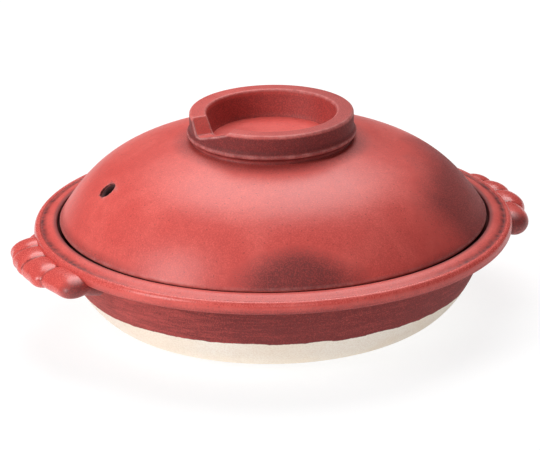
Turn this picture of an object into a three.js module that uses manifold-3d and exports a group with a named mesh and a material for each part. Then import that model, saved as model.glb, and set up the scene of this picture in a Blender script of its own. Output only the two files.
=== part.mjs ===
// A clay cooking pot: a wide, shallow bowl with two shell-shaped ears, and a domed lid with a ring knob.
// Millimetres, +Z up. The origin is on the table under the middle of the foot, and the ears point along X.

import * as THREE from "three";
import { mergeVertices } from "three/addons/utils/BufferGeometryUtils.js";
import Module from "manifold-3d";

const wasm = await Module();
wasm.setup();

// Clearances
const slipGap = 0.3; // layer of slip that lutes the ears and the knob on
const seatGap = 0.3; // lid above its seat
const lidPlay = 3.2; // lid to the step round its seat

// Bowl
const bowlHeight = 61.8; // table to the top of the rim
const footRadius = 90; // flat, unglazed base
const floorThickness = 9;
const wallThickness = 9;
const heelReach = 22; // length of the turn from the base up into the wall
const wallRise = 28; // height over which the wall straightens under the rim
const wallSetback = 9; // lean of the wall over that height

// Rim
const rimRadius = 149;
const rimWidth = 13; // outside of the roll to the step round the lid
const rimOverhang = 13; // how far the roll stands out from the wall under it
const shoulderDrop = 9.6; // where the wall ends, below the top of the rim
const rollRadius = 3.4; // rolled outer lip
const lipDrop = 1.5; // crest of the roll below the top of the rim
const grooveWidth = 3;
const grooveDepth = 0.8; // soft groove between roll and ledge
const ledgeDrop = 1.2; // fall of the ledge towards the groove
const seatDepth = 5.3; // lid seat below the top of the rim
const seatWidth = 12.9;
const edgeRound = 1.2; // softened clay edges

// Ears
const lobeCount = 5;
const firstLobeTurn = THREE.MathUtils.degToRad(-12.6); // wide front end of the row, off the ears' line
const lobePitch = THREE.MathUtils.degToRad(9.3); // first lobe to the second, seen from above
const pitchShrinkRatio = 0.85; // each pitch over the one before
const widthShrinkRatio = 0.8; // width of each lobe over that of the one before
const lobeSwellRatio = 1.07; // the same for the thickness
const earReach = 17.6; // the most that the row of noses stands out beyond the rim
const bowMiddle = 1.7; // place in the row, counted in lobes, where it stands out most
const bowSpan = 2.5; // lobes from there to where the row would meet the rim
const bowPower = 4; // how squarely the row bows out, seen from above: 2 is a plain curve
const lobeWidth = 44; // first lobe; lobes overlap, which leaves the grooves between them
const lobeThickness = 14.4; // first lobe, at its root
const lobeTaperRatio = 0.84; // thickness at the nose over thickness at the root
const lobeDroop = THREE.MathUtils.degToRad(8);
const earDrop = 11.6; // middle of a lobe below the top of the rim, where it leaves the roll
const collarWidth = 24; // plain root of the ear, along the roll and under it
const collarThickness = 11;
const collarDrop = 10; // middle of the collar below the top of the rim
const collarStand = 4; // collar beyond the rim

// Lid
const domeRise = 53.2; // top of the rim to the crown
const lidThickness = 8;
const lidLand = 8.8; // flat ring that the lid stands on
const lidCollar = 1.4; // upright edge of the lid above the top of the rim
const flankRise = 29.2; // pull of the flank upwards
const flankSetback = 18.3; // pull of the flank inwards
const crownReach = 96; // how far out the flat of the crown pulls

// Steam hole
const steamHoleRadius = 4.25;
const steamHoleDistance = 106; // from the axis of the lid
const steamHoleTurn = THREE.MathUtils.degToRad(178);

// Knob
const knobRadius = 51;
const knobWall = 10.8;
const knobRise = 15.4; // top of the ring above the crown
const bandHeight = 13.4; // top of the ring to the ridge
const ridgeStand = 1.6; // ridge proud of the band
const ridgeRadius = 1.8;
const neckRadius = 49.6; // undercut below the ridge
const knobFlare = 5.5; // foot of the ring outside its neck
const flareEdge = 0.8; // thickness of the foot at its outer edge
const innerDraft = 2.6; // inner wall leans in this much towards the bottom
const notchSpread = THREE.MathUtils.degToRad(47); // opening of the notch at the top, seen from above
const notchFloorSpread = THREE.MathUtils.degToRad(6);
const notchDepth = 9.5;
const notchTurn = THREE.MathUtils.degToRad(185);

// Finish
const glazeRed = 0xb8433e;
const glazeRoughness = 0.42;

// Smoothness of the round forms
const roundSteps = 64;
const ringSteps = 48;
const lobeSteps = 16;
const wallSteps = 7;
const bendSteps = 4;
const edgeSteps = 2;
const weld = 0.001;

// Places that follow from the sizes
const rollCentreRadius = rimRadius - rollRadius;
const rollCentreHeight = bowlHeight - lipDrop - rollRadius;
const shoulderRadius = rimRadius - rimOverhang;
const shoulderHeight = bowlHeight - shoulderDrop;
const stepRadius = rimRadius - rimWidth;
const seatHeight = bowlHeight - seatDepth;
const seatInnerRadius = stepRadius - seatWidth;
const lidRadius = stepRadius - lidPlay;
const lidBase = seatHeight + seatGap;
const crownHeight = bowlHeight + domeRise;
const knobTop = crownHeight + knobRise;
const ridgeHeight = knobTop - bandHeight;

const point = (x, y) => new THREE.Vector2(x, y);

function arc(x, y, radius, startDegrees, endDegrees, steps) {
  const start = THREE.MathUtils.degToRad(startDegrees);
  const end = THREE.MathUtils.degToRad(endDegrees);
  return new THREE.EllipseCurve(x, y, radius, radius, start, end, end < start).getPoints(steps);
}

function bend(start, pullStart, pullEnd, end, steps) {
  return new THREE.CubicBezierCurve(start, pullStart, pullEnd, end).getPoints(steps);
}

// Strings curves and corners together and drops the points that two neighbours share.
function outline(...runs) {
  const points = runs.flat();
  return points.filter((p, i) => i === 0 || p.distanceTo(points[i - 1]) > weld);
}

// Moves an outline that starts and ends on the axis out by a clearance.
function grown(points, clearance) {
  const mirrored = (p) => point(-p.x, p.y);
  return points.map((p, i) => {
    const before = points[i - 1] ?? mirrored(points[i + 1]);
    const after = points[i + 1] ?? mirrored(points[i - 1]);
    const arriving = p.clone().sub(before).normalize();
    const leaving = after.clone().sub(p).normalize();
    const mitre = clearance / (1 + arriving.dot(leaving));
    const across = arriving.add(leaving);
    return point(p.x + across.y * mitre, p.y - across.x * mitre);
  });
}

function revolve(points, steps) {
  return new THREE.LatheGeometry(points, steps).rotateX(Math.PI / 2);
}

function solid(geometry) {
  const bare = geometry.clone();
  bare.deleteAttribute("normal");
  bare.deleteAttribute("uv");
  const merged = mergeVertices(bare, weld);
  return new wasm.Manifold(new wasm.Mesh({
    numProp: 3,
    vertProperties: new Float32Array(merged.attributes.position.array),
    triVerts: new Uint32Array(merged.index.array),
  }));
}

function geometryOf(body) {
  const mesh = body.getMesh();
  const geometry = new THREE.BufferGeometry();
  geometry.setAttribute("position", new THREE.BufferAttribute(mesh.vertProperties, mesh.numProp));
  geometry.setIndex(new THREE.BufferAttribute(mesh.triVerts, 1));
  geometry.computeVertexNormals();
  return geometry;
}

function glazed(name, geometry) {
  const material = new THREE.MeshStandardMaterial({
    color: glazeRed,
    roughness: glazeRoughness,
    metalness: 0,
  });
  const mesh = new THREE.Mesh(geometry, material);
  mesh.name = name;
  return mesh;
}

// Foot, rounded heel and flaring wall, up to the underside of the roll.
function outerWall() {
  return outline(
    [point(0, 0)],
    bend(
      point(footRadius, 0),
      point(footRadius + heelReach, 0),
      point(shoulderRadius - wallSetback, shoulderHeight - wallRise),
      point(shoulderRadius, shoulderHeight),
      wallSteps,
    ),
  );
}

// The cooking side, from the lip of the lid seat down to the flat floor.
function innerWall() {
  return bend(
    point(seatInnerRadius, seatHeight - edgeRound),
    point(shoulderRadius - wallSetback - wallThickness, shoulderHeight - wallRise),
    point(footRadius + heelReach - wallThickness, floorThickness),
    point(footRadius - wallThickness, floorThickness),
    wallSteps,
  );
}

function bowlOutline() {
  const rollCrest = rollCentreHeight + rollRadius;
  const ledgeRadius = rollCentreRadius - grooveWidth;
  const ledgeHeight = bowlHeight - ledgeDrop;
  return outline(
    outerWall(),
    arc(rollCentreRadius, rollCentreHeight, rollRadius, -90, 90, bendSteps * 2),
    bend(
      point(rollCentreRadius, rollCrest),
      point(rollCentreRadius - grooveWidth / 2, rollCrest - grooveDepth * 2),
      point(ledgeRadius, ledgeHeight - grooveDepth),
      point(ledgeRadius, ledgeHeight),
      bendSteps,
    ),
    arc(stepRadius + edgeRound, bowlHeight - edgeRound, edgeRound, 90, 180, edgeSteps),
    [point(stepRadius, seatHeight)],
    arc(seatInnerRadius + edgeRound, seatHeight - edgeRound, edgeRound, 90, 180, edgeSteps),
    innerWall(),
    [point(0, floorThickness)],
  );
}

// The space that the bowl takes up, seen by what is luted to its outside.
function bowlSpace() {
  const above = bowlHeight + lobeThickness;
  const space = outline(
    outerWall(),
    arc(rollCentreRadius, rollCentreHeight, rollRadius, -90, 0, bendSteps),
    [point(rimRadius, above), point(0, above)],
  );
  return solid(revolve(grown(space, slipGap), roundSteps));
}

// The lobes stand closer together towards the small end of their row.
function lobeTurn(index) {
  let turn = firstLobeTurn;
  for (let i = 0; i < index; i += 1) {
    turn += lobePitch * pitchShrinkRatio ** i;
  }
  return turn;
}

// One lobe: a tapered finger with a round nose, flatter than it is wide. Along the row the fingers
// get narrower, and their noses bow out and fall back to the rim.
function lobe(index) {
  const thickness = lobeThickness * lobeSwellRatio ** index;
  const width = lobeWidth * widthShrinkRatio ** index;
  const offMiddle = Math.abs(index - bowMiddle) / bowSpan;
  const reach = rimRadius + earReach * (1 - offMiddle ** bowPower);
  const rootRadius = thickness / 2;
  const noseRadius = rootRadius * lobeTaperRatio;
  const tail = shoulderRadius - wallThickness;
  const noseCentre = reach - noseRadius - tail;
  const finger = outline(
    [point(0, 0), point(rootRadius, 0)],
    arc(0, noseCentre, noseRadius, 0, 90, bendSteps),
  );
  const geometry = new THREE.LatheGeometry(finger, lobeSteps);
  geometry.rotateZ(-Math.PI / 2);
  geometry.scale(1, 1, width / thickness);
  geometry.rotateX(Math.PI / 2);
  geometry.translate(tail - rimRadius, 0, 0);
  geometry.rotateY(lobeDroop);
  geometry.translate(rimRadius, 0, bowlHeight - earDrop);
  return geometry.rotateZ(lobeTurn(index));
}

// The plain root that the lobes grow out of: a stretch of a flat ring, from the first lobe to the last.
function collar() {
  const middle = rimRadius + collarStand - collarWidth / 2;
  const height = bowlHeight - collarDrop;
  const section = new THREE.EllipseCurve(middle, height, collarWidth / 2, collarThickness / 2);
  const ring = solid(revolve(section.getPoints(lobeSteps), roundSteps));
  const start = lobeTurn(0);
  const end = lobeTurn(lobeCount - 1);
  const far = rimRadius * 2;
  const sector = new THREE.Shape([
    point(0, 0),
    point(far * Math.cos(start), far * Math.sin(start)),
    point(far * Math.cos(end), far * Math.sin(end)),
  ]);
  const slice = new THREE.ExtrudeGeometry(sector, { depth: bowlHeight * 2, bevelEnabled: false });
  return ring.intersect(solid(slice));
}

// Lobes side by side round the rim make the shell; the bowl then cuts the root to its own shape.
function earBody() {
  let shell = collar();
  for (let i = 0; i < lobeCount; i += 1) {
    shell = shell.add(solid(lobe(i)));
  }
  return shell.subtract(bowlSpace());
}

// Outside of the lid, from its upright edge to the crown.
function domeCurve() {
  return bend(
    point(lidRadius, bowlHeight + lidCollar),
    point(lidRadius - flankSetback, bowlHeight + flankRise),
    point(crownReach, crownHeight),
    point(0, crownHeight),
    wallSteps * 2,
  );
}

function lidOutline() {
  return outline(
    bend(
      point(0, crownHeight - lidThickness),
      point(crownReach - lidThickness, crownHeight - lidThickness),
      point(lidRadius - flankSetback - lidThickness, bowlHeight + flankRise - lidThickness),
      point(lidRadius - lidLand, lidBase),
      wallSteps + edgeSteps,
    ),
    arc(lidRadius - edgeRound, lidBase + edgeRound, edgeRound, -90, 0, edgeSteps),
    domeCurve(),
  );
}

// The steam hole is pierced square to the dome.
function steamHole() {
  const dome = domeCurve();
  const i = dome.findIndex((p) => p.x < steamHoleDistance);
  const inner = dome[i];
  const outer = dome[i - 1];
  const share = (steamHoleDistance - inner.x) / (outer.x - inner.x);
  const mouth = inner.clone().lerp(outer, share);
  const slope = Math.atan2(inner.y - outer.y, outer.x - inner.x);
  const pin = new THREE.CylinderGeometry(steamHoleRadius, steamHoleRadius, lidThickness * 4, lobeSteps);
  pin.rotateX(Math.PI / 2);
  pin.rotateY(slope);
  pin.translate(mouth.x, 0, mouth.y);
  pin.rotateZ(steamHoleTurn);
  return solid(pin);
}

function lidBody() {
  return geometryOf(solid(revolve(lidOutline(), roundSteps)).subtract(steamHole()));
}

// The ring runs down into the crown, which then cuts its foot to the curve of the dome.
function knobOutline() {
  const topInnerRadius = knobRadius - knobWall;
  const footRadiusOutside = neckRadius + knobFlare;
  const footHeight = domeCurve().find((p) => p.x < footRadiusOutside).y + slipGap + flareEdge;
  const buried = footHeight - lidThickness;
  const neckHeight = (ridgeHeight - ridgeRadius + footHeight) / 2;
  const ridgeCentre = knobRadius + ridgeStand - ridgeRadius;
  return outline(
    [point(topInnerRadius - innerDraft, buried), point(footRadiusOutside, buried)],
    bend(
      point(footRadiusOutside, footHeight),
      point(neckRadius + knobFlare / 2, footHeight),
      point(neckRadius, footHeight),
      point(neckRadius, neckHeight),
      bendSteps,
    ),
    arc(ridgeCentre, ridgeHeight, ridgeRadius, -90, 60, bendSteps),
    arc(knobRadius - edgeRound, knobTop - edgeRound, edgeRound, 0, 90, edgeSteps),
    arc(topInnerRadius + edgeRound, knobTop - edgeRound, edgeRound, 90, 180, edgeSteps),
    [point(topInnerRadius - innerDraft, buried)],
  );
}

// The space under the dome's outside, seen by what is luted to the crown.
function lidSpace() {
  const space = outline([point(0, lidBase), point(lidRadius, lidBase)], domeCurve());
  return solid(revolve(grown(space, slipGap), roundSteps));
}

// A wedge whose sides all run to the axis of the ring: narrow at the bottom, wide at the top.
function notchWedge() {
  const top = knobTop + notchDepth;
  const topHalf = 2 * Math.tan(notchSpread / 2) - Math.tan(notchFloorSpread / 2);
  const floorHalf = Math.tan(notchFloorSpread / 2);
  const section = new THREE.Shape([
    point(-floorHalf, knobTop - notchDepth),
    point(floorHalf, knobTop - notchDepth),
    point(topHalf, top),
    point(-topHalf, top),
  ]);
  const length = knobRadius * 2;
  const wedge = new THREE.ExtrudeGeometry(section, { depth: length, steps: bendSteps, bevelEnabled: false });
  const corners = wedge.attributes.position;
  for (let i = 0; i < corners.count; i += 1) {
    const distance = corners.getZ(i) + edgeRound;
    corners.setXYZ(i, distance, corners.getX(i) * distance, corners.getY(i));
  }
  return solid(wedge.rotateZ(notchTurn));
}

function knobBody() {
  const ring = solid(revolve(knobOutline(), ringSteps));
  return geometryOf(ring.subtract(lidSpace()).subtract(notchWedge()));
}

// Assembly
const ear = earBody();
const pot = new THREE.Group();
pot.add(
  glazed("bowl", revolve(bowlOutline(), roundSteps)),
  glazed("ear_right", geometryOf(ear)),
  glazed("ear_left", geometryOf(ear.mirror([1, 0, 0]))),
);

const cover = new THREE.Group();
cover.add(glazed("lid", lidBody()), glazed("knob_ring", knobBody()));

const clayPot = new THREE.Group();
clayPot.add(pot, cover);

export default clayPot;
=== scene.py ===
import math

import bpy
import numpy as np
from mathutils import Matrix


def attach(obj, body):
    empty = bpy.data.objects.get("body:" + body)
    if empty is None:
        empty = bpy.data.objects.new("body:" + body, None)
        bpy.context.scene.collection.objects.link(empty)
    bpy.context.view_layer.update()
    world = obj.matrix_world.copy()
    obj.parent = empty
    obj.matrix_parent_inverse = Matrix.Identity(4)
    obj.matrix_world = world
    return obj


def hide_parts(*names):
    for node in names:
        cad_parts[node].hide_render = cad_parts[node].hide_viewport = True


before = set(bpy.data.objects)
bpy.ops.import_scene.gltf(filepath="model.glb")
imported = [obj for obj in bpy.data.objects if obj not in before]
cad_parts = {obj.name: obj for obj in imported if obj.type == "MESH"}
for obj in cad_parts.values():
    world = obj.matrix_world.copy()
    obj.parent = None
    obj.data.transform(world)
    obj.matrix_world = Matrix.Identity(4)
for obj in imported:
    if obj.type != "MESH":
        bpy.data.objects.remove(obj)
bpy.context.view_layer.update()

# The bowl: one body of coarse clay, thrown wide and shallow, with a flat foot, a rolled lip and a seat
# for the lid. It is dipped in red glaze down to a line above the foot, so its base stays bare, sandy clay.

bowl_turns = 192
bowl_height = 0.0618
soft_edge = 0.0012

foot_radius = 0.090
foot_pull = (0.112, 0)
wall_pull = (0.1262, 0.0242)
shoulder = (0.1345, 0.0512)
flange_pulls = (0.1356, 0.0537), (0.1400, 0.0529)

rim_radius = 0.149
roll_half_width = 0.0028
roll_half_height = 0.0040
roll_centre = (rim_radius - roll_half_width, 0.0562)
roll_lap = 105

step_radius = 0.1346
groove = (0.1442, 0.0596)
groove_half_width = 0.0006
ledge_start = (step_radius + 0.0022, bowl_height)
ledge_pulls = (groove[0] - 0.0014, groove[1]), (0.1402, bowl_height - 0.0001)

seat_height = 0.0565
seat_inner_radius = 0.1231
inside_top = (seat_inner_radius, 0.0553)
floor_thickness = 0.009
floor_edge = (0.081, floor_thickness)
inside_pulls = (0.118, 0.0242), (0.103, floor_thickness)

thin_and_sheen_bend = (180, 800)
pooled_and_shade_bend = (60, 500)


def curve(start, pull_start, pull_end, end, steps):
    """Points of a bent line between two ends, each end pulled by its own handle."""
    points = []
    for i in range(steps + 1):
        t = i / steps
        u = 1 - t
        shares = (u ** 3, 3 * u * u * t, 3 * u * t * t, t ** 3)
        handles = (start, pull_start, pull_end, end)
        points.append(tuple(sum(s * h[k] for s, h in zip(shares, handles)) for k in (0, 1)))
    return points


def rounding(centre, radius, start, end, steps, height=None):
    """Points of an arc, or of a flattened one where a half height is given, its angles in degrees."""
    angles = [math.radians(start + (end - start) * i / steps) for i in range(steps + 1)]
    upright = height or radius
    return [(centre[0] + radius * math.cos(a), centre[1] + upright * math.sin(a)) for a in angles]


def throw(name, profile, turns):
    """Draws half a section by extruding one point along it, and spins it round the upright axis."""
    bpy.ops.object.select_all(action="DESELECT")
    bpy.ops.mesh.primitive_plane_add(size=soft_edge)
    piece = bpy.context.object
    piece.name = piece.data.name = name
    bpy.ops.object.mode_set(mode="EDIT")
    bpy.ops.mesh.merge(type="CENTER")
    bpy.ops.transform.translate(value=(profile[0][0], 0, profile[0][1]))
    for (r0, z0), (r1, z1) in zip(profile, profile[1:]):
        if math.hypot(r1 - r0, z1 - z0) > 1e-6:
            bpy.ops.mesh.extrude_region_move(TRANSFORM_OT_translate={"value": (r1 - r0, 0, z1 - z0)})
    bpy.ops.mesh.select_all(action="SELECT")
    bpy.ops.mesh.spin(steps=turns, angle=math.tau, center=(0, 0, 0), axis=(0, 0, 1))
    bpy.ops.mesh.select_all(action="SELECT")
    bpy.ops.mesh.remove_doubles(threshold=2e-6)
    bpy.ops.mesh.normals_make_consistent(inside=False)
    bpy.ops.object.mode_set(mode="OBJECT")
    bpy.ops.object.shade_smooth()
    return piece


def read_edges(piece, blur):
    """Stores how sharply the clay bulges out (thin_and_sheen) and turns in (pooled_and_shade) at each point
    of a piece, for the paler edges and darker hollows of the glaze.
    """
    mesh = piece.data
    count = len(mesh.vertices)
    spots = np.empty(count * 3)
    mesh.vertices.foreach_get("co", spots)
    spots = spots.reshape(-1, 3)
    normals = np.empty(count * 3)
    mesh.vertex_normals.foreach_get("vector", normals)
    normals = normals.reshape(-1, 3)
    ends = np.empty(len(mesh.edges) * 2, dtype=np.int64)
    mesh.edges.foreach_get("vertices", ends)
    ends = ends.reshape(-1, 2)
    ends = np.concatenate([ends, ends[:, ::-1]])
    step = spots[ends[:, 1]] - spots[ends[:, 0]]
    bend = -2 * (step * normals[ends[:, 0]]).sum(1) / np.maximum((step * step).sum(1), 1e-12)
    out = np.zeros(count)
    into = np.zeros(count)
    np.maximum.at(out, ends[:, 0], bend)
    np.maximum.at(into, ends[:, 0], -bend)
    near = np.bincount(ends[:, 0], minlength=count).clip(1)
    for _ in range(blur):
        out = (out + np.bincount(ends[:, 0], out[ends[:, 1]], count) / near) / 2
        into = (into + np.bincount(ends[:, 0], into[ends[:, 1]], count) / near) / 2
    for name, value, (least, most) in (("thin_and_sheen", out, thin_and_sheen_bend), ("pooled_and_shade", into, pooled_and_shade_bend)):
        layer = mesh.attributes.new(name, "FLOAT", "POINT")
        share = np.clip((value - least) / (most - least), 0, 1)
        layer.data.foreach_set("value", share.astype(np.float32))


roll_under = rounding(roll_centre, roll_half_width, -roll_lap, -90, 1, roll_half_height)[0]
roll_top = rounding(roll_centre, roll_half_width, roll_lap, 90, 1, roll_half_height)[0]
groove_pulls = (roll_top[0] - groove_half_width, groove[1]), (groove[0] + groove_half_width, groove[1])
ledge_edge = (step_radius + soft_edge, bowl_height - soft_edge)
seat_edge = (seat_inner_radius + soft_edge, seat_height - soft_edge)
bowl_profile = (
    [(0, 0)]
    + curve((foot_radius, 0), foot_pull, wall_pull, shoulder, 28)
    + curve(shoulder, *flange_pulls, roll_under, 12)
    + rounding(roll_centre, roll_half_width, -roll_lap, roll_lap, 24, roll_half_height)
    + curve(roll_top, *groove_pulls, groove, 6)
    + curve(groove, *ledge_pulls, ledge_start, 14)
    + rounding(ledge_edge, soft_edge, 85, 180, 6)
    + [(step_radius, seat_height + soft_edge / 2), (step_radius - soft_edge / 2, seat_height)]
    + rounding(seat_edge, soft_edge, 90, 180, 5)
    + curve(inside_top, *inside_pulls, floor_edge, 20)
    + [(0, floor_thickness)]
)
bowl = throw("bowl_body", bowl_profile, bowl_turns)
read_edges(bowl, blur=1)


def place(tree, kind, inputs=None, **settings):
    """Adds a node, with its settings, and with each input set to a value or joined to another node."""
    node = tree.nodes.new(kind)
    for name, value in settings.items():
        setattr(node, name, value)
    for slot, value in (inputs or {}).items():
        if isinstance(value, bpy.types.NodeSocket):
            tree.links.new(value, node.inputs[slot])
        else:
            node.inputs[slot].default_value = value
    return node


def reckon(tree, operation, first, second=0.0, clamp=False):
    node = place(tree, "ShaderNodeMath", {0: first, 1: second}, operation=operation, use_clamp=clamp)
    return node.outputs[0]


def reckon_vector(tree, operation, first, second=(0, 0, 0)):
    return place(tree, "ShaderNodeVectorMath", {0: first, 1: second}, operation=operation).outputs


def overlap(tree, *masks):
    """How far a point lies within all the masks."""
    shared = masks[0]
    for mask in masks[1:]:
        shared = reckon(tree, "MULTIPLY", shared, mask)
    return shared


def between(tree, value, low, high, to_low=0.0, to_high=1.0):
    """A soft mask: it runs from to_low to to_high while the value goes from low to high."""
    inputs = {"Value": value, 1: low, 2: high, 3: to_low, 4: to_high}
    return place(tree, "ShaderNodeMapRange", inputs, interpolation_type="SMOOTHSTEP").outputs[0]


def blend(tree, share, first, second):
    return place(tree, "ShaderNodeMix", {0: share, 6: first, 7: second}, data_type="RGBA").outputs[2]


def noise(tree, where, scale, detail, roughness=0.5, distortion=0.0):
    inputs = {"Vector": where, "Scale": scale, "Detail": detail}
    inputs.update({"Roughness": roughness, "Distortion": distortion})
    return place(tree, "ShaderNodeTexNoise", inputs).outputs[0]


def dotted(tree, where, scale):
    """Distance from the nearest of many scattered dots, in the pattern's own measure."""
    return place(tree, "ShaderNodeTexVoronoi", {"Vector": where, "Scale": scale}).outputs["Distance"]


def new_group(name, takes, gives):
    tree = bpy.data.node_groups.new(name, "ShaderNodeTree")
    for socket, kind in takes:
        tree.interface.new_socket(socket, in_out="INPUT", socket_type=kind)
    for socket, kind in gives:
        tree.interface.new_socket(socket, in_out="OUTPUT", socket_type=kind)
    return tree, tree.nodes.new("NodeGroupInput").outputs, tree.nodes.new("NodeGroupOutput").inputs


# Red glaze of the whole set: cloudy from brick red to a lighter red, finely grained, with dark iron specks,
# pale and pinkish over an edge, partly thin glaze and partly a painted highlight, and nearly black in a
# groove, partly gathered glaze and partly painted shade. Where a piece asks for it, painted shade turns it a
# dry, dark brown.

brick_red = (0.75, 0.102, 0.085, 1)
light_red = (0.84, 0.138, 0.115, 1)
mottle_red = (0.60, 0.072, 0.063, 1)
painted_shade_brown = (0.130, 0.020, 0.021, 1)
dark_grain = (0.32, 0.042, 0.040, 1)
pale_grain = (0.80, 0.20, 0.18, 1)
iron_speck = (0.13, 0.028, 0.028, 1)
pooled_and_shade_black = (0.075, 0.018, 0.020, 1)
thin_and_sheen_pink = (0.84, 0.36, 0.34, 1)
cloud_scale = 26
mottle_scale = 210
grain_scale = 1150
speck_scale = 260
light_share = (0.34, 0.68)
mottle_share = (0.36, 0.72, 0.0, 0.30)
dark_grain_share = (0.34, 0.70, 0.32, 0.0)
pale_grain_share = (0.50, 0.78, 0.0, 0.26)
speck_share = (0.05, 0.17, 0.42, 0.0)
pooled_and_shade_share = (0.30, 0.58, 0.45, 1.0)
thin_and_sheen_share = (0.28, 0.66, 0.75, 0.25)
painted_shade_start = (0.0, 0.15)
painted_shade_graininess = (0.36, 0.66, -0.26, 0.26)
cloud_roughness = (0.30, 0.70, 0.35, 0.41)
grain_roughness = (0.3, 0.7, -0.03, 0.05)
painted_shade_dryness = 0.25
cloud_relief = 1.6
mottle_relief = 0.22
grain_relief = 0.05
skin_depth = 0.0006
skin_strength = 0.5

glaze, taken, given = new_group(
    "red_glaze",
    [("ThinAndSheen", "NodeSocketFloat"), ("PooledAndShade", "NodeSocketFloat"), ("PaintedShade", "NodeSocketFloat")],
    [("Color", "NodeSocketColor"), ("Roughness", "NodeSocketFloat"), ("Height", "NodeSocketFloat")],
)
where = place(glaze, "ShaderNodeTexCoord").outputs["Object"]
clouds = noise(glaze, where, cloud_scale, detail=3, roughness=0.55, distortion=0.4)
mottle = noise(glaze, where, mottle_scale, detail=4, roughness=0.6)
grain = noise(glaze, where, grain_scale, detail=2, roughness=0.7)
specks = dotted(glaze, where, speck_scale)
red = blend(glaze, between(glaze, clouds, *light_share), brick_red, light_red)
red = blend(glaze, between(glaze, mottle, *mottle_share), red, mottle_red)
# Painted shade: the glaze turns a grainy dark brown wherever the piece's mask asks for it.
painted_shade_grain = reckon(glaze, "ADD", taken["PaintedShade"], between(glaze, grain, *painted_shade_graininess))
painted_shade_begun = between(glaze, taken["PaintedShade"], *painted_shade_start)
painted_shade_grain = reckon(glaze, "MULTIPLY", painted_shade_grain, painted_shade_begun, clamp=True)
red = blend(glaze, painted_shade_grain, red, painted_shade_brown)
red = blend(glaze, between(glaze, grain, *dark_grain_share), red, dark_grain)
red = blend(glaze, between(glaze, grain, *pale_grain_share), red, pale_grain)
red = blend(glaze, between(glaze, specks, *speck_share), red, iron_speck)
# Nearly black where the surface turns in: partly glaze gathered there, partly painted shade.
gathered_and_shaded = overlap(glaze, taken["PooledAndShade"], between(glaze, mottle, *pooled_and_shade_share))
red = blend(glaze, gathered_and_shaded, red, pooled_and_shade_black)
# Pale pink over bulging edges: partly thin glaze, partly a painted highlight.
paled_and_lit = overlap(glaze, taken["ThinAndSheen"], between(glaze, mottle, *thin_and_sheen_share))
red = blend(glaze, paled_and_lit, red, thin_and_sheen_pink)
glaze.links.new(red, given["Color"])
satin = between(glaze, clouds, *cloud_roughness)
satin = reckon(glaze, "ADD", satin, between(glaze, grain, *grain_roughness))
satin = reckon(glaze, "ADD", satin, reckon(glaze, "MULTIPLY", taken["PaintedShade"], painted_shade_dryness))
glaze.links.new(satin, given["Roughness"])
skin = reckon(glaze, "MULTIPLY", clouds, cloud_relief)
skin = reckon(glaze, "ADD", skin, reckon(glaze, "MULTIPLY", mottle, mottle_relief))
skin = reckon(glaze, "ADD", skin, reckon(glaze, "MULTIPLY", grain, grain_relief))
glaze.links.new(skin, given["Height"])


def glazed(name, thin_and_sheen_amount, gathering_and_shade):
    """The red glaze on one piece: how much paler it is over edges, partly thin glaze and partly painted
    highlight, and how much darker in hollows, partly gathered glaze and partly painted shade.
    """
    material = bpy.data.materials.new(name)
    material.use_nodes = True
    tree = material.node_tree
    thin_and_sheen = place(tree, "ShaderNodeAttribute", attribute_name="thin_and_sheen").outputs["Fac"]
    pooled_and_shade = place(tree, "ShaderNodeAttribute", attribute_name="pooled_and_shade").outputs["Fac"]
    skin_node = place(tree, "ShaderNodeGroup", node_tree=glaze)
    tree.links.new(reckon(tree, "MULTIPLY", thin_and_sheen, thin_and_sheen_amount), skin_node.inputs["ThinAndSheen"])
    tree.links.new(reckon(tree, "MULTIPLY", pooled_and_shade, gathering_and_shade), skin_node.inputs["PooledAndShade"])
    return material, tree, skin_node, tree.nodes["Principled BSDF"]


def finish_glaze(tree, shader, color, roughness, height):
    """Joins the glaze's colour, roughness and fine relief to the shader."""
    relief = {"Strength": skin_strength, "Distance": skin_depth, "Height": height}
    bump = place(tree, "ShaderNodeBump", relief)
    tree.links.new(color, shader.inputs["Base Color"])
    tree.links.new(roughness, shader.inputs["Roughness"])
    tree.links.new(bump.outputs[0], shader.inputs["Normal"])


def measured(tree):
    """Where a point of a piece lies: its place, its distance from the upright axis and its height."""
    where = place(tree, "ShaderNodeTexCoord").outputs["Object"]
    flat = reckon_vector(tree, "MULTIPLY", where, (1, 1, 0))["Vector"]
    radius = reckon_vector(tree, "LENGTH", flat)["Value"]
    return where, radius, place(tree, "ShaderNodeSeparateXYZ", {0: where}).outputs[2]


# Glaze and bare clay on the bowl. Painted shade darkens the wall below the roll, more towards its right
# side.
# The glaze is darkest in the groove of the lip, where glaze gathers and painted shade deepens it at the
# sides, and a painted shadow lies along the ledge beside the lid and on the step and seat under the lid's
# edge.

clay_cream = (0.95, 0.87, 0.75, 1)
clay_white = (0.97, 0.92, 0.83, 1)
sand_brown = (0.72, 0.54, 0.40, 1)
clay_dot = (0.46, 0.30, 0.20, 1)
gap_shadow_black = (0.030, 0.010, 0.011, 1)
groove_and_shade_brown = (0.11, 0.026, 0.028, 1)
glaze_line = 0.0234
line_blur = 0.00025
line_scale = 55
line_wander = (0.25, 0.75, -0.0008, 0.0008)
sand_scale = 900
sand_share = (0.35, 0.62, 0.28, 0.0)
sand_relief = 0.5
clay_cloud_scale = 30
clay_cloud_share = (0.35, 0.65)
clay_dot_scale = 420
clay_dot_share = (0.06, 0.16, 0.30, 0.0)
wall_middle_slope = 0.69
wall_middle_start = 0.0975
foot_depth = 0.006
wall_top = (0.0500, 0.0590, 1.0, 0.0)
streak_shape = (0.10, 0.10, 1.0)
streak_scale = 520
streak_depth = (0.34, 0.66, -0.14, 0.14)
shade_frame_turn = math.radians(21)
wall_shade = (-0.125, 0.020, 0.50, 1.0)
groove_shade_sides = (0.080, 0.125, 0.10, 1.0)
ledge_shade_sides = (0.060, 0.115, 0.15, 0.80)
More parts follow.
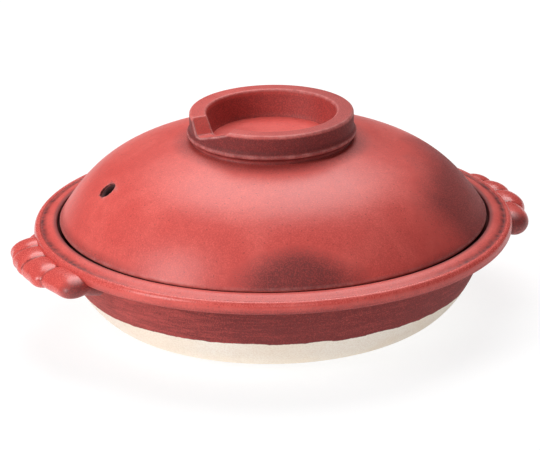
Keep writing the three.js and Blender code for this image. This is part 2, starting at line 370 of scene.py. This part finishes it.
thin_and_sheen_heights = (roll_centre[1] - 0.0015, roll_centre[1] + 0.0010)
thin_and_sheen_radii = (groove[0] - 0.003, groove[0], 1.0, 0.35)
seat_dark = (step_radius - 0.0085, step_radius - 0.0050)
seat_dark_floor = seat_height - 0.001
step_dark = (step_radius + 0.0002, step_radius + 0.0010, 0.9, 0.0)
step_dark_top = (bowl_height - 0.0016, bowl_height - 0.0006, 1.0, 0.0)
groove_inner = (groove[0] - 0.0042, groove[0] - 0.0004)
groove_outer = (groove[0] - 0.0004, groove[0] + 0.0020, 1.0, 0.0)
groove_floor = groove[1] - 0.003
groove_patch_scale = 170
groove_patch_share = (0.42, 0.62, 0.45, 1.0)
ledge_dark = (step_radius + 0.0006, step_radius + 0.0036, 1.0, 0.0)
ledge_dark_floor = seat_height + 0.002
roll_radii = (groove[0], groove[0] + 0.0015)
roll_heights = (roll_centre[1] - 0.003, roll_centre[1])
wall_dryness = 0.20
roll_gloss = 0.11
clay_roughness = 0.92
bowl_shine = 0.36


def turned_to_shade_frame(tree, where):
    """A point's place along (X) and across (Y) the frame in which the painted shade is laid out over the
    pot.
    """
    return place(tree, "ShaderNodeMapping", {"Vector": where, "Rotation": (0, 0, shade_frame_turn)}).outputs[0]


bowl_glaze, tree, skin_node, shader = glazed("bowl_red_glaze", thin_and_sheen_amount=0.5, gathering_and_shade=0.25)
coat = skin_node.outputs
where, radius, height = measured(tree)
ragged = noise(tree, where, line_scale, detail=5, roughness=0.6)
ragged = between(tree, ragged, *line_wander)
ragged_height = reckon(tree, "ADD", height, ragged)
below = between(tree, ragged_height, glaze_line - line_blur, glaze_line + line_blur, 1.0, 0.0)
# A cone through the middle of the wall parts its outside, where the clay is bare, from its inside.
wall_middle = reckon(tree, "MULTIPLY", height, wall_middle_slope)
wall_middle = reckon(tree, "ADD", wall_middle, wall_middle_start)
outside = reckon(tree, "GREATER_THAN", radius, wall_middle)
outside = reckon(tree, "MAXIMUM", outside, reckon(tree, "LESS_THAN", height, foot_depth))
bare = overlap(tree, below, outside)
sand = noise(tree, where, sand_scale, detail=3, roughness=0.7)
clay_clouds = noise(tree, where, clay_cloud_scale, detail=3)
clay_dots = dotted(tree, where, clay_dot_scale)
clay = blend(tree, between(tree, clay_clouds, *clay_cloud_share), clay_cream, clay_white)
clay = blend(tree, between(tree, sand, *sand_share), clay, sand_brown)
clay = blend(tree, between(tree, clay_dots, *clay_dot_share), clay, clay_dot)

# Painted shade on the wall below the roll: half strength on the left, full on the right, streaked round the
# pot.
on_wall = overlap(tree, between(tree, height, *wall_top), outside)
along = place(tree, "ShaderNodeSeparateXYZ", {0: turned_to_shade_frame(tree, where)}).outputs[0]
sideways = reckon(tree, "ABSOLUTE", along)
ringed = place(tree, "ShaderNodeMapping", {"Vector": where, "Scale": streak_shape}).outputs[0]
streaks = noise(tree, ringed, streak_scale, detail=4, roughness=0.6)
streaks = between(tree, streaks, *streak_depth)
painted_shade = reckon(tree, "ADD", between(tree, along, *wall_shade), streaks)
tree.links.new(reckon(tree, "MULTIPLY", on_wall, painted_shade, clamp=True), skin_node.inputs["PaintedShade"])
# The pale edge colour is kept only along the top of the roll, where it makes a painted highlight.
thin_and_sheen = skin_node.inputs["ThinAndSheen"].links[0].from_socket
thin_and_sheen = overlap(tree, thin_and_sheen, between(tree, height, *thin_and_sheen_heights), between(tree, radius, *thin_and_sheen_radii))
tree.links.new(thin_and_sheen, skin_node.inputs["ThinAndSheen"])

# A painted shadow, near black, on the step and the outer part of the seat, where the gap round the lid is in
# shade.
at_seat = overlap(
    tree,
    between(tree, radius, *step_dark),
    reckon(tree, "GREATER_THAN", height, seat_dark_floor),
    between(tree, height, *step_dark_top),
    between(tree, radius, *seat_dark),
)
# Dark brown, patchy, in the groove of the lip: glaze gathered there, deepened by painted shade at the left
# and right sides.
patchy = noise(tree, where, groove_patch_scale, detail=5, roughness=0.7)
in_groove = overlap(
    tree,
    between(tree, radius, *groove_inner),
    between(tree, radius, *groove_outer),
    reckon(tree, "GREATER_THAN", height, groove_floor),
    between(tree, patchy, *groove_patch_share),
    between(tree, sideways, *groove_shade_sides),
)
# Painted shade on the ledge beside the lid, at the left and right sides.
by_lid = overlap(
    tree,
    between(tree, radius, *ledge_dark),
    reckon(tree, "GREATER_THAN", height, ledge_dark_floor),
    between(tree, sideways, *ledge_shade_sides),
)
darker = blend(tree, at_seat, coat["Color"], gap_shadow_black)
darker = blend(tree, in_groove, darker, groove_and_shade_brown)
darker = blend(tree, by_lid, darker, groove_and_shade_brown)
color = blend(tree, bare, darker, clay)
on_roll = overlap(tree, between(tree, radius, *roll_radii), between(tree, height, *roll_heights))
roughness = reckon(tree, "ADD", coat["Roughness"], reckon(tree, "MULTIPLY", on_wall, wall_dryness))
roughness = reckon(tree, "SUBTRACT", roughness, reckon(tree, "MULTIPLY", on_roll, roll_gloss))
roughness = place(tree, "ShaderNodeMix", {0: bare, 2: roughness, 3: clay_roughness}).outputs[0]
sanded = reckon(tree, "MULTIPLY", sand, sand_relief)
skin = place(tree, "ShaderNodeMix", {0: bare, 2: coat["Height"], 3: sanded}).outputs[0]
finish_glaze(tree, shader, color, roughness, skin)
shader.inputs["Specular IOR Level"].default_value = bowl_shine
bowl.data.materials.append(bowl_glaze)
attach(bowl, "pot")
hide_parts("bowl")

# The ears: two lugs of the same clay, each a row of five soft lobes on a plain collar, like a shell.
# They are pressed in a mould and luted under the roll with slip, one at each side, and glazed with the
# bowl. The right one's lobes stand out rounder than the left one's.

lobe_count = 5
first_lobe = math.radians(-13.0)
lobe_pitch = math.radians(9.3)
pitch_shrink = 0.85
lobe_width = 0.0184
width_shrink = 0.82
lobe_length = 0.0110
lobe_thickness = 0.0070
lobe_swell = 1.07
lobe_roundness = 0.3
lobe_root = 0.0090
root_fall = 0.0045
root_share = 1 / 3
lobe_droop = math.radians(8)
lobe_height = 0.0508
lobe_fall = 0.0006
ear_reach = 0.0167
bow_middle = 1.7
bow_span = 2.5
bow_power = 4
collar_radius = 0.1470
collar_height = 0.0510
collar_depth = 0.0060
collar_thickness = 0.0053
ear_back = [(0, 0.030), (0.1245, 0.030), (0.1310, 0.0505), (0.1370, 0.0545), (0.1370, 0.070), (0, 0.070)]
ear_grain = 0.0007
ear_rubs = 5
corner_shade = (rim_radius - 0.003, rim_radius + 0.002, 0.9, 0.0)
corner_shade_heights = (0.050, 0.056, 1.0, 0.4)
shaded_end = (-0.052, -0.042, 0.85, 0.0)
ear_gloss = 0.10


def lobe_turn(index):
    """Place of a lobe round the rim: the row closes up towards its small end."""
    return first_lobe + lobe_pitch * sum(pitch_shrink ** k for k in range(index))


def one_lobe(index, fullness, plumpness, tuck):
    """A ball filled out into a soft knuckle, tipped down and set at its place in the row."""
    width = lobe_width * width_shrink ** index
    size = lobe_swell ** index
    nose = rim_radius + ear_reach * (1 - ((index - bow_middle) / bow_span) ** bow_power)
    nose -= tuck if index == 0 else 0
    bpy.ops.object.select_all(action="DESELECT")
    bpy.ops.mesh.primitive_uv_sphere_add(segments=64, ring_count=40, radius=1)
    lobe = bpy.context.object
    for vertex in lobe.data.vertices:
        full = 1 + vertex.co.y ** 2
        vertex.co.x *= full ** fullness
        vertex.co.z *= full ** lobe_roundness
    bpy.ops.object.mode_set(mode="EDIT")
    bpy.ops.mesh.select_all(action="SELECT")
    bpy.ops.transform.resize(value=(size * lobe_length, width, plumpness * size * lobe_thickness))
    bpy.ops.mesh.select_all(action="DESELECT")
    bpy.ops.object.mode_set(mode="OBJECT")
    for vertex in lobe.data.vertices:
        vertex.select = vertex.co.x < -size * lobe_length * root_share
    bpy.ops.object.mode_set(mode="EDIT")
    bpy.ops.transform.translate(value=(-lobe_root, 0, -root_fall))
    bpy.ops.mesh.select_all(action="SELECT")
    bpy.ops.transform.rotate(value=-lobe_droop, orient_axis="Y", center_override=(0, 0, 0))
    bpy.ops.transform.translate(value=(nose - size * lobe_length, 0, lobe_height - index * lobe_fall))
    bpy.ops.transform.rotate(value=-lobe_turn(index), orient_axis="Z", center_override=(0, 0, 0))
    bpy.ops.object.mode_set(mode="OBJECT")
    return lobe


def ear_collar():
    """A flat round bar bent along the rim, from the middle of the first lobe to that of the last but one."""
    span = lobe_turn(lobe_count - 2) - first_lobe
    upright = (math.pi / 2, 0, 0)
    bpy.ops.object.select_all(action="DESELECT")
    bpy.ops.mesh.primitive_circle_add(vertices=32, radius=1, fill_type="NGON", rotation=upright)
    collar = bpy.context.object
    bpy.ops.object.transform_apply(location=False, rotation=True, scale=False)
    bpy.ops.object.mode_set(mode="EDIT")
    bpy.ops.transform.resize(value=(collar_depth, 1, collar_thickness))
    bpy.ops.transform.translate(value=(collar_radius, 0, collar_height))
    bpy.ops.transform.rotate(value=-first_lobe, orient_axis="Z", center_override=(0, 0, 0))
    bpy.ops.mesh.spin(steps=40, angle=-span, center=(0, 0, 0), axis=(0, 0, 1))
    bpy.ops.mesh.select_all(action="SELECT")
    bpy.ops.mesh.normals_make_consistent(inside=False)
    bpy.ops.object.mode_set(mode="OBJECT")
    return collar


def pick(*pieces):
    """Selects these pieces and nothing else."""
    bpy.ops.object.select_all(action="DESELECT")
    for piece in pieces:
        piece.select_set(True)
    bpy.context.view_layer.objects.active = pieces[0]


def soften(piece, grain_size, rubs):
    """Fuses the lumps of a piece into one skin and rubs its edges soft, as wet clay under a sponge."""
    pick(piece)
    fuse = piece.modifiers.new("fuse", "REMESH")
    fuse.mode = "VOXEL"
    fuse.voxel_size = grain_size
    bpy.ops.object.modifier_apply(modifier=fuse.name)
    sponge = piece.modifiers.new("sponge", "SMOOTH")
    sponge.factor = 0.5
    sponge.iterations = rubs
    bpy.ops.object.modifier_apply(modifier=sponge.name)
    bpy.ops.object.shade_smooth()


def cut_away(piece, cutter):
    """Takes the cutter's shape out of a piece, with the empty material slot that this leaves."""
    pick(piece)
    cut = piece.modifiers.new("cut", "BOOLEAN")
    cut.operation = "DIFFERENCE"
    cut.solver = "MANIFOLD"
    cut.object = cutter
    bpy.ops.object.modifier_apply(modifier=cut.name)
    piece.data.materials.clear()
    bpy.data.objects.remove(cutter)


def one_ear(name, fullness, plumpness, tuck, turn, fall):
    """Joins the collar and the lobes into one lug, its back cut to the curve of the bowl."""
    pick(ear_collar(), *[one_lobe(i, fullness, plumpness, tuck) for i in range(lobe_count)])
    bpy.ops.object.join()
    ear = bpy.context.object
    ear.name = ear.data.name = name
    bpy.ops.object.mode_set(mode="EDIT")
    bpy.ops.mesh.select_all(action="SELECT")
    bpy.ops.transform.translate(value=(0, 0, -fall))
    bpy.ops.transform.rotate(value=-turn, orient_axis="Z", center_override=(0, 0, 0))
    bpy.ops.object.mode_set(mode="OBJECT")
    soften(ear, ear_grain, ear_rubs)
    cut_away(ear, throw("ear_back", ear_back, bowl_turns))
    read_edges(ear, blur=4)
    return ear


right_ear = one_ear(
    "ear_right_shell", fullness=0.0, plumpness=1.16, tuck=0.0006, turn=math.radians(-1.0), fall=0.0010
)
left_ear = one_ear("ear_left_shell", fullness=0.75, plumpness=1.0, tuck=0.0, turn=0.0, fall=0.0)
pick(left_ear)
bpy.ops.object.mode_set(mode="EDIT")
bpy.ops.mesh.select_all(action="SELECT")
bpy.ops.transform.resize(value=(-1, 1, 1), center_override=(0, 0, 0))
bpy.ops.mesh.normals_make_consistent(inside=False)
bpy.ops.object.mode_set(mode="OBJECT")

ear_glaze, tree, skin_node, shader = glazed("ear_red_glaze", thin_and_sheen_amount=0.35, gathering_and_shade=0.75)
coat = skin_node.outputs
where, radius, height = measured(tree)
# Painted shade in the corner under the roll where the ear meets the wall, and over the front end of each
# ear.
corner = overlap(tree, between(tree, radius, *corner_shade), between(tree, height, *corner_shade_heights))
front_end = between(tree, place(tree, "ShaderNodeSeparateXYZ", {0: where}).outputs[1], *shaded_end)
tree.links.new(reckon(tree, "MAXIMUM", corner, front_end), skin_node.inputs["PaintedShade"])
roughness = reckon(tree, "SUBTRACT", coat["Roughness"], ear_gloss)
finish_glaze(tree, shader, coat["Color"], roughness, coat["Height"])
for ear, node in ((right_ear, "ear_right"), (left_ear, "ear_left")):
    ear.data.materials.append(ear_glaze)
    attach(ear, "pot")
    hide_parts(node)

# The lid: one thrown dome of the same clay, standing loose on the seat inside the rim.
# Its steam hole is pierced square through the flank while the clay is leather-hard. Painted shade darkens
# its right side, a patch low on its front, its lower edge at the sides and the crown round the knob, and a
# painted shadow lies along its lip over the gap and inside the steam hole.

lid_turns = 192
lid_base = 0.0568
lid_foot_radius = 0.1304
lid_foot_inner = (0.124, lid_base)
crown_height = 0.115
crown_inside = crown_height - 0.008
dome_inside_pulls = (0.088, crown_inside), (0.1065, 0.083)
lip_start = (lid_foot_radius, 0.0590)
lip_pulls = (0.1305, 0.0603), (0.1333, 0.0603)
lip_edge = (0.1329, 0.0624)
dome_pulls = (0.1150, 0.0900), (0.096, crown_height)

hole_radius = 0.0042
hole_distance = 0.106
hole_height = 0.0907
hole_tilt = math.radians(42)
hole_turn = math.radians(178)
mouth_flare = 0.0016
mouth_start = (hole_radius, -mouth_flare)
mouth_pulls = (hole_radius, -0.0004), (hole_radius + 0.0004, 0.0002)
mouth_edge = (hole_radius + mouth_flare, 0.0004)
pin_depth = 0.02
pin_head = 0.006

side_shade = (0.070, 0.104, 0.0, 0.80)
side_shade_ends = (0.120, 0.090)
front_shade = (-0.078, -0.046, 0.12, 1.0)
wander_scale = 14
shade_wander = (0.3, 0.7, -0.010, 0.010)
crown_shade = (0.054, 0.065, 0.42, 0.0)
crown_shade_inner = 0.045
patch_middle = (0.012, -0.129, 0.066)
patch_shape = (1 / 0.046, 1 / 0.021, 1 / 0.021)
patch_fade = (0.30, 1.20, 0.86, 0.0)
patch_wander = 20.0
edge_shade = (0.0620, 0.0690, 0.55, 0.0)
edge_shade_sides = (0.070, 0.115)
lid_gap_shadow = (0.0602, 0.0616, 0.95, 0.0)
hole_shadow = (hole_radius + 0.0009, hole_radius + 0.0020, 0.96, 0.0)
dark_dryness = 0.5
lid_shine = 0.42

lid_profile = (
    curve((0, crown_inside), *dome_inside_pulls, lid_foot_inner, 24)
    + rounding((lid_foot_radius - soft_edge, lid_base + soft_edge), soft_edge, -90, 0, 5)
    + curve(lip_start, *lip_pulls, lip_edge, 8)
    + curve(lip_edge, *dome_pulls, (0, crown_height), 52)
)
lid = throw("lid_dome", lid_profile, lid_turns)

pin_profile = (
    [(0, -pin_depth), (hole_radius, -pin_depth), mouth_start]
    + curve(mouth_start, *mouth_pulls, mouth_edge, 5)
    + [(hole_radius + mouth_flare, pin_head), (0, pin_head)]
)
pin = throw("hole_pin", pin_profile, 32)
bpy.ops.object.mode_set(mode="EDIT")
bpy.ops.mesh.select_all(action="SELECT")
bpy.ops.transform.rotate(value=-hole_tilt, orient_axis="Y", center_override=(0, 0, 0))
bpy.ops.transform.translate(value=(hole_distance, 0, hole_height))
bpy.ops.transform.rotate(value=-hole_turn, orient_axis="Z", center_override=(0, 0, 0))
bpy.ops.object.mode_set(mode="OBJECT")
cut_away(lid, pin)
bpy.ops.object.shade_smooth_by_angle(angle=math.radians(38))
read_edges(lid, blur=1)
upper_side = lid.data.attributes.new("upper", "FLOAT", "POINT")
upper_side.data.foreach_set("value", [float(v.normal.z > 0) for v in lid.data.vertices])

lid_glaze, tree, skin_node, shader = glazed("lid_red_glaze", thin_and_sheen_amount=0.6, gathering_and_shade=0.8)
coat = skin_node.outputs
where, radius, height = measured(tree)
turned = turned_to_shade_frame(tree, where)
along, across, _ = place(tree, "ShaderNodeSeparateXYZ", {0: turned}).outputs
# Painted shade: the right side, a patch low on the front, the lower edge at the sides and a ring round the
# knob's foot, all on the upper face.
wander = between(tree, noise(tree, where, wander_scale, detail=3), *shade_wander)
side = overlap(
    tree,
    between(tree, reckon(tree, "ADD", along, wander), *side_shade),
    between(tree, across, *side_shade_ends),
    between(tree, across, *front_shade),
)
from_patch = reckon_vector(tree, "SUBTRACT", turned, patch_middle)["Vector"]
from_patch = reckon_vector(tree, "MULTIPLY", from_patch, patch_shape)["Vector"]
from_patch = reckon_vector(tree, "LENGTH", from_patch)["Value"]
from_patch = reckon(tree, "ADD", from_patch, reckon(tree, "MULTIPLY", wander, patch_wander))
patch = between(tree, from_patch, *patch_fade)
at_ends = between(tree, reckon(tree, "ABSOLUTE", along), *edge_shade_sides)
at_edge = overlap(tree, between(tree, height, *edge_shade), at_ends)
past_knob = reckon(tree, "GREATER_THAN", radius, crown_shade_inner)
round_knob = overlap(tree, between(tree, radius, *crown_shade), past_knob)
painted_shade = side
for mask in (patch, at_edge, round_knob):
    painted_shade = reckon(tree, "MAXIMUM", painted_shade, mask)
upper = place(tree, "ShaderNodeAttribute", attribute_name="upper").outputs["Fac"]
tree.links.new(overlap(tree, painted_shade, upper), skin_node.inputs["PaintedShade"])

# A painted shadow inside the steam hole, and along the lip where it hangs over the gap.
hole_mouth = (hole_distance * math.cos(hole_turn), hole_distance * math.sin(hole_turn), hole_height)
hole_axis = (
    math.sin(hole_tilt) * math.cos(hole_turn),
    math.sin(hole_tilt) * math.sin(hole_turn),
    math.cos(hole_tilt),
)
from_mouth = reckon_vector(tree, "SUBTRACT", where, hole_mouth)["Vector"]
from_axis = reckon_vector(tree, "CROSS_PRODUCT", from_mouth, hole_axis)["Vector"]
from_axis = reckon_vector(tree, "LENGTH", from_axis)["Value"]
in_hole = between(tree, from_axis, *hole_shadow)
darker = reckon(tree, "MAXIMUM", between(tree, height, *lid_gap_shadow), in_hole)
color = blend(tree, darker, coat["Color"], gap_shadow_black)
roughness = reckon(tree, "ADD", coat["Roughness"], reckon(tree, "MULTIPLY", darker, dark_dryness))
finish_glaze(tree, shader, color, roughness, coat["Height"])
shader.inputs["Specular IOR Level"].default_value = lid_shine
lid.data.materials.append(lid_glaze)
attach(lid, "cover")
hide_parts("lid")

# The knob: a thrown ring of the same clay, luted to the crown with slip, a ridge near its foot to grip by.
# One V-shaped notch is cut through it, so that water drains when the lid stands upside down.

knob_turns = 160
knob_top = 0.1304
knob_radius = 0.051
inner_radius = knob_radius - 0.0108
knob_edge = 0.0017
ring_bed = 0.108
bed_middle = (inner_radius - 0.0040, ring_bed)
bed_inner = (inner_radius - 0.0052, ring_bed)
ring_foot = (0.0551, 0.1104)
neck_radius = 0.0496
neck_top = (neck_radius, 0.1136)
neck_pulls = (0.0523, 0.1108), (neck_radius, 0.1112)
ridge_height = 0.117
ridge_radius = 0.0018
ridge_centre = (0.0508, ridge_height)
ridge_lap = (-100, 70)
over_ridge = (knob_radius - 0.0002, 0.1200)
inner_bend = (inner_radius - 0.0020, 0.1180)
inner_pulls = (inner_radius - 0.0024, 0.1160), (0.0378, 0.1146)
inner_foot = (0.0354, 0.1112)

notch_half_spread = math.radians(23.5)
notch_floor_half_spread = math.radians(3)
notch_depth = 0.0095
notch_turn = math.radians(185)
notch_inner_reach = 0.020
notch_outer_reach = 0.075
knob_grain = 0.0006
knob_rubs = 5

band_radii = (neck_radius - 0.0006, neck_radius + 0.0006)
band_top = (knob_top - 0.0028, knob_top - 0.0006, 1.0, 0.0)
band_foot = (ridge_height - 0.001, ridge_height + 0.003, 0.70, 1.0)
ring_shade = (-knob_radius / 2, knob_radius, 0.20, 0.55)
inside_shade = (inner_radius, inner_radius + 0.001, 0.55, 0.0)
inside_shade_top = (knob_top - 0.0040, knob_top - 0.0015, 1.0, 0.0)
knob_shine = 0.3

knob_profile = (
    [bed_middle, (ring_foot[0], ring_bed), ring_foot]
    + curve(ring_foot, *neck_pulls, neck_top, 10)
    + rounding(ridge_centre, ridge_radius, *ridge_lap, 12)
    + [over_ridge]
    + rounding((knob_radius - knob_edge, knob_top - knob_edge), knob_edge, 0, 90, 6)
    + rounding((inner_radius + knob_edge, knob_top - knob_edge), knob_edge, 90, 180, 6)
    + curve(inner_bend, *inner_pulls, inner_foot, 10)
    + [bed_inner, bed_middle]
)
knob = throw("knob_ring_body", knob_profile, knob_turns)

bpy.ops.object.select_all(action="DESELECT")
bpy.ops.mesh.primitive_cube_add(size=1, location=(knob_radius, 0, knob_top))
wedge = bpy.context.object
bpy.ops.object.transform_apply(location=True, rotation=False, scale=False)
floor_spread = math.tan(notch_floor_half_spread)
head_spread = 2 * math.tan(notch_half_spread) - floor_spread
for vertex in wedge.data.vertices:
    at_top = vertex.co.z > knob_top
    hand = 1 if vertex.co.y > 0 else -1
    reach = notch_outer_reach if vertex.co.x > knob_radius else notch_inner_reach
    spread = head_spread if at_top else floor_spread
    vertex.co = (reach, hand * reach * spread, knob_top + (notch_depth if at_top else -notch_depth))
bpy.ops.object.mode_set(mode="EDIT")
bpy.ops.mesh.select_all(action="SELECT")
bpy.ops.transform.rotate(value=-notch_turn, orient_axis="Z", center_override=(0, 0, 0))
bpy.ops.object.mode_set(mode="OBJECT")
cut_away(knob, wedge)
soften(knob, knob_grain, knob_rubs)
read_edges(knob, blur=2)

knob_glaze, tree, skin_node, shader = glazed("knob_red_glaze", thin_and_sheen_amount=0.9, gathering_and_shade=0.30)
coat = skin_node.outputs
where, radius, height = measured(tree)
# Painted shade on the outer band of the ring and its neck below the ridge, over the whole ring more on its
# right side, and at the top of its inner wall.
band = overlap(
    tree,
    between(tree, radius, *band_radii),
    between(tree, height, *band_top),
    between(tree, height, *band_foot),
)
along = place(tree, "ShaderNodeSeparateXYZ", {0: turned_to_shade_frame(tree, where)}).outputs[0]
inside = overlap(tree, between(tree, radius, *inside_shade), between(tree, height, *inside_shade_top))
painted_shade = reckon(tree, "MAXIMUM", between(tree, along, *ring_shade), inside)
tree.links.new(reckon(tree, "MAXIMUM", band, painted_shade), skin_node.inputs["PaintedShade"])
finish_glaze(tree, shader, coat["Color"], coat["Roughness"], coat["Height"])
shader.inputs["Specular IOR Level"].default_value = knob_shine
knob.data.materials.append(knob_glaze)
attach(knob, "cover")
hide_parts("knob_ring")

# The table: a plain pale sheet that the pot stands on, laid out far past the edge of the picture.
# It looks white to the eye and in reflections, and keeps a soft shadow round the foot.

table_size = 12.0
paper_white = (1, 1, 1, 1)
paper_grey = (0.88, 0.88, 0.88, 1)
paper_glow = 0.35
white_share = 0.75

bpy.ops.object.select_all(action="DESELECT")
bpy.ops.mesh.primitive_grid_add(x_subdivisions=4, y_subdivisions=4, size=table_size, location=(0, 0, 0))
table = bpy.context.object
table.name = table.data.name = "table_sheet"
paper = bpy.data.materials.new("table_paper")
paper.use_nodes = True
tree = paper.node_tree
tree.nodes.clear()
ray = place(tree, "ShaderNodeLightPath").outputs
seen = reckon(tree, "MAXIMUM", ray["Is Camera Ray"], ray["Is Glossy Ray"])
seen = reckon(tree, "MAXIMUM", seen, ray["Is Transmission Ray"])
matt = place(tree, "ShaderNodeBsdfDiffuse", {"Color": paper_grey}).outputs[0]
# The sheet also gives off a faint glow, which lights the pot's foot and wall from below as a lamp would.
glow = place(tree, "ShaderNodeEmission", {"Color": paper_white, "Strength": paper_glow}).outputs[0]
matt = place(tree, "ShaderNodeAddShader", {0: matt, 1: glow}).outputs[0]
white = place(tree, "ShaderNodeEmission", {"Color": paper_white, "Strength": 1.0}).outputs[0]
shown = reckon(tree, "MULTIPLY", seen, white_share)
sheet = place(tree, "ShaderNodeMixShader", {0: shown, 1: matt, 2: white}).outputs[0]
place(tree, "ShaderNodeOutputMaterial", {"Surface": sheet})
table.data.materials.append(paper)

# The light: one wide soft lamp above and behind, another in front on the left, a small one lower there
# that picks out the lip and the lobes, and a weak one straight in front. The room itself is dim.

aim = (0.0, 0.0, 0.07)
view_azimuth = math.radians(-21.0)
to_right = (math.cos(view_azimuth), math.sin(view_azimuth))
to_back = (-math.sin(view_azimuth), math.cos(view_azimuth))
room_light = 0.05


def soft_lamp(name, right, back, up, size, power):
    """Hangs a round lamp at a place given from the camera's side, and turns it to the pot."""
    spot = (
        aim[0] + right * to_right[0] + back * to_back[0],
        aim[1] + right * to_right[1] + back * to_back[1],
        aim[2] + up,
    )
    lamp = bpy.data.lights.new(name, "AREA")
    lamp.shape = "DISK"
    lamp.size = size
    lamp.energy = power
    holder = bpy.data.objects.new(name, lamp)
    bpy.context.scene.collection.objects.link(holder)
    holder.location = spot
    level = math.hypot(right, back)
    holder.rotation_euler = (math.atan2(level, up), 0, math.atan2(spot[0] - aim[0], -(spot[1] - aim[1])))


soft_lamp("top_lamp", right=0.02, back=0.82, up=1.54, size=1.6, power=30)
soft_lamp("left_lamp", right=-1.30, back=-0.80, up=0.95, size=0.8, power=15)
soft_lamp("low_lamp", right=-1.45, back=-0.95, up=0.55, size=0.4, power=4)
soft_lamp("front_lamp", right=0.15, back=-1.55, up=0.90, size=0.9, power=3.5)

world = bpy.data.worlds.new("studio_room")
world.use_nodes = True
bpy.context.scene.world = world
tree = world.node_tree
tree.nodes.clear()
dim = place(tree, "ShaderNodeBackground", {"Color": (1, 1, 1, 1), "Strength": room_light}).outputs[0]
place(tree, "ShaderNodeOutputWorld", {"Surface": dim})

# The camera: a long lens, a little above the pot and to the left of its front, as in the photograph.
# It is slid and rolled a little, so that the pot lies in the frame as it does there.

camera_distance = 2.5
camera_height = math.radians(20.29)
camera_roll = math.radians(0.93)
look_at = (0.0, 0.0, 0.063)
slide_right = -0.0020
slide_up = -0.0079
sensor_width = 36.0
lens_length = 267.3

lens = bpy.data.cameras.new("studio_camera")
lens.sensor_width = sensor_width
lens.lens = lens_length
camera = bpy.data.objects.new("studio_camera", lens)
bpy.context.scene.collection.objects.link(camera)
rise = math.sin(camera_height)
level = math.cos(camera_height)
image_up = (to_back[0] * rise, to_back[1] * rise, level)
camera.location = [
    look_at[k]
    + camera_distance * (-to_back[k] * level if k < 2 else rise)
    + slide_right * (to_right[k] if k < 2 else 0)
    + slide_up * image_up[k]
    for k in range(3)
]
camera.rotation_euler = (math.pi / 2 - camera_height, 0, view_azimuth)
camera.rotation_euler.rotate_axis("Z", -camera_roll)
bpy.context.scene.camera = camera
bpy.context.scene.view_settings.view_transform = "Standard"

bpy.context.view_layer.update()
